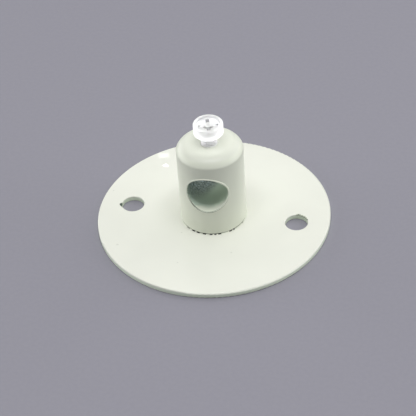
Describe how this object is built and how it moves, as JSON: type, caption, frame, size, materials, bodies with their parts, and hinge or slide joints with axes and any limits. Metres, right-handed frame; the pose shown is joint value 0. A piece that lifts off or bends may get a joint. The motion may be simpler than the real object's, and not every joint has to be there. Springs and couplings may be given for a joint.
{
  "type": "ceiling rose",
  "caption": "Round screw-down ceiling rose plate with a domed post, cross-bored for a lamp cord, and a plastic screw on the post's axis that clamps the cord.",
  "frame": {"origin": "centre of the plate's back face", "axes": "+Z along the post, away from the ceiling; X through the fixing holes; the cord bore looks along -Y"},
  "size_m": [0.0705, 0.0704, 0.036],
  "materials": {
    "white_paint": "gloss",
    "clear_plastic": "gloss",
    "plated_steel": "satin"
  },
  "bodies": {
    "rose": {"base_plate": "white_paint", "post": "white_paint", "post_fixing_screw": "plated_steel"},
    "clamp_screw": {"clamp_screw": "clear_plastic"}
  },
  "joints": [
    {"name": "clamp_travel", "type": "slide", "parent": "rose", "child": "clamp_screw", "axis": [0, 0, 1], "range_m": [-0.0034, 0.006]}
  ]
}
